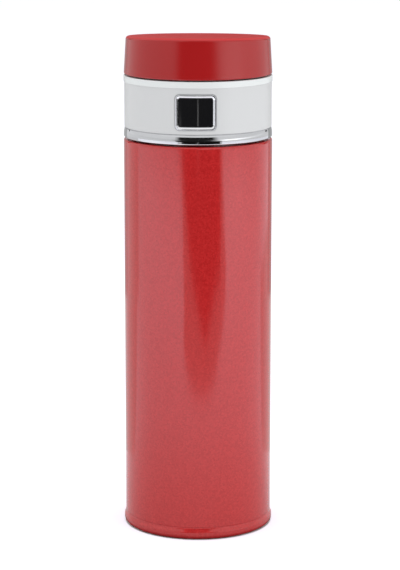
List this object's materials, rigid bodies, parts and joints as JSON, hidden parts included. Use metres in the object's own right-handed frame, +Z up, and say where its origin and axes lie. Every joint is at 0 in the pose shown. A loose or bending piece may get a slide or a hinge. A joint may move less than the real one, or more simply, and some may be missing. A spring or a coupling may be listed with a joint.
{
  "type": "insulated water bottle",
  "caption": "Slim vacuum flask with a screw-on drinking collar, push-button latch and spring-hinged flip lid with a sloping top.",
  "frame": {"origin": "on the floor under the bottle's axis", "axes": "+Z up the bottle's axis, -Y towards the button, +Y towards the lid's hinge"},
  "size_m": [0.0672, 0.072, 0.2233],
  "materials": {
    "red_enamel": "gloss red with fine flake",
    "red_plastic": "satin red moulding",
    "stainless": "drawn and electropolished steel",
    "chrome_trim": "bright plated trim",
    "white_plastic": "fine satin-gloss white moulding",
    "white_band": "gloss white moulding",
    "bezel_chrome": "bright plated frame",
    "spout_plastic": "satin white moulding",
    "button_black": "polished black",
    "slider_plastic": "grey acetal",
    "liner_plastic": "satin white moulding",
    "silicone": "translucent white silicone",
    "lid_silicone": "translucent white silicone",
    "catch_plastic": "dark acetal",
    "spring_steel": "drawn stainless wire",
    "pin_steel": "ground stainless pin",
    "foil_copper": "bright copper-toned foil",
    "getter_grey": "sintered grey pellet",
    "solder": "solidified solder"
  },
  "bodies": {
    "flask": {"outer_shell": "red_enamel", "base_cap": "red_enamel", "outer_bottom": "stainless", "seal_bead": "solder", "getter": "getter_grey", "getter_clip": "stainless", "inner_liner": "stainless", "radiation_foil": "foil_copper", "neck_ring": "stainless"},
    "gasket": {"stopper_gasket": "silicone"},
    "collar_unit": {"collar": "white_plastic", "collar_deck": "white_band", "mouthpiece": "spout_plastic", "chrome_ring": "chrome_trim", "button_bezel": "bezel_chrome", "hinge_pin": "pin_steel", "button_spring": "spring_steel", "lid_spring": "spring_steel"},
    "button_unit": {"button": "button_black", "button_slider": "slider_plastic"},
    "lid": {"lid_shell": "red_plastic", "lid_liner": "liner_plastic", "lid_gasket": "lid_silicone", "lid_catch": "catch_plastic"}
  },
  "joints": [
    {"name": "collar_lift", "type": "slide", "parent": "flask", "child": "gasket", "axis": [0, 0, 1], "range_m": [0, 0.006]},
    {"name": "collar_turn", "type": "hinge", "parent": "gasket", "child": "collar_unit", "pos_m": [0, 0, 0.18], "axis": [0, 0, 1], "range_deg": [0, 540]},
    {"name": "button_press", "type": "slide", "parent": "collar_unit", "child": "button_unit", "axis": [0, 1, 0], "range_m": [0, 0.0018], "stiffness_N_per_m": 1500, "deforming": ["button_spring"]},
    {"name": "lid_hinge", "type": "hinge", "parent": "collar_unit", "child": "lid", "pos_m": [0, 0.0358, 0.205], "axis": [-1, 0, 0], "range_deg": [0, 140], "deforming": ["lid_spring"]}
  ],
  "couplings": [
    {"joint": "collar_lift", "follows": "collar_turn", "m_per_rad": 0.00063662}
  ]
}
